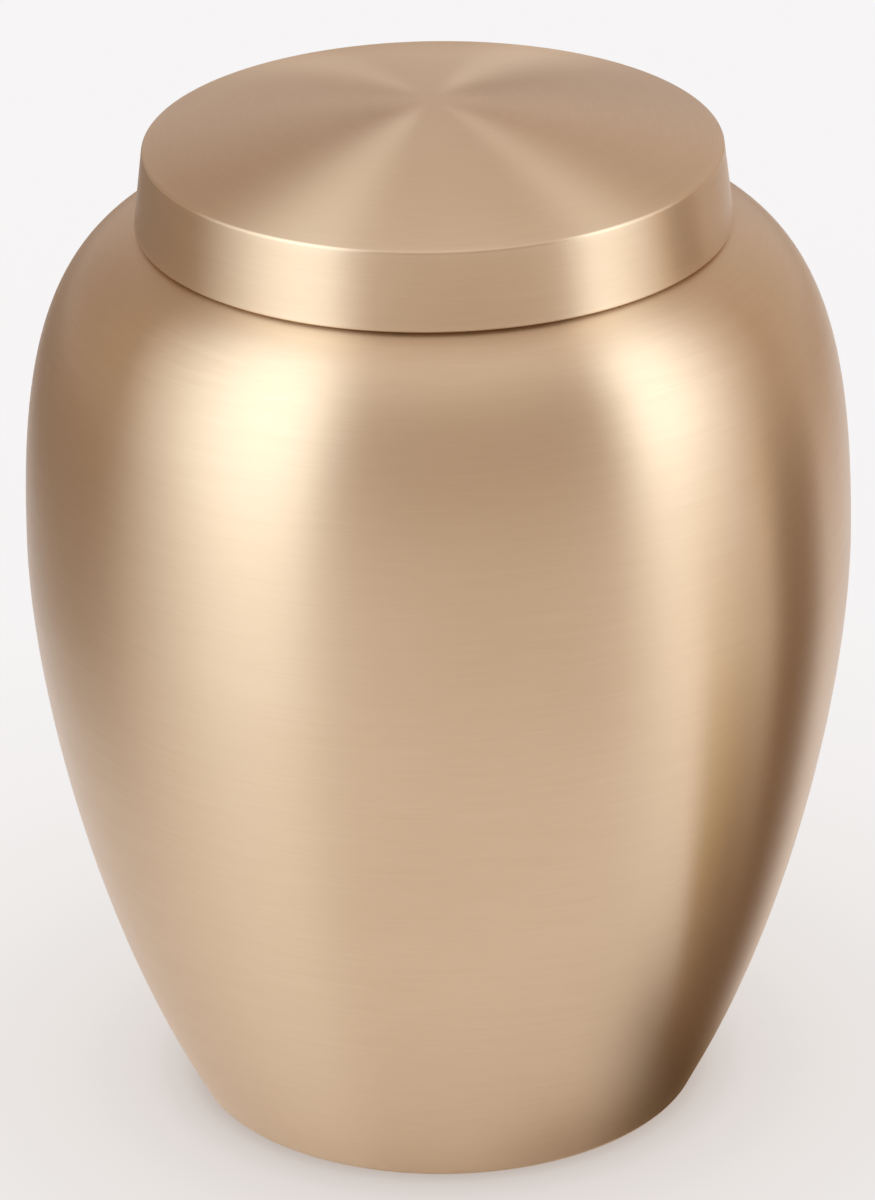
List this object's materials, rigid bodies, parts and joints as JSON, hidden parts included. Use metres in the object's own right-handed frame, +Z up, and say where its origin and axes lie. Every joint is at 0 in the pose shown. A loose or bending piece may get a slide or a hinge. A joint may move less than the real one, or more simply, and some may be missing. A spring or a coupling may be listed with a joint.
{
  "type": "cremation urn",
  "caption": "Plump shouldered bronze urn with a narrow flat foot, a thin hollow body and an upright neck under a low domed lift-off lid.",
  "frame": {"origin": "centre of the underside, on the surface the urn stands on", "axes": "+Z up along the urn's axis of revolution; X and Y are equal by symmetry"},
  "size_m": [0.172, 0.172, 0.2206],
  "materials": {
    "body_bronze": "fine brushed, lines round the axis, clear satin lacquer",
    "lid_bronze": "fine brushed, lines round the axis, clear satin lacquer"
  },
  "bodies": {
    "root": {"urn_body": "body_bronze", "urn_lid": "lid_bronze"}
  },
  "joints": []
}
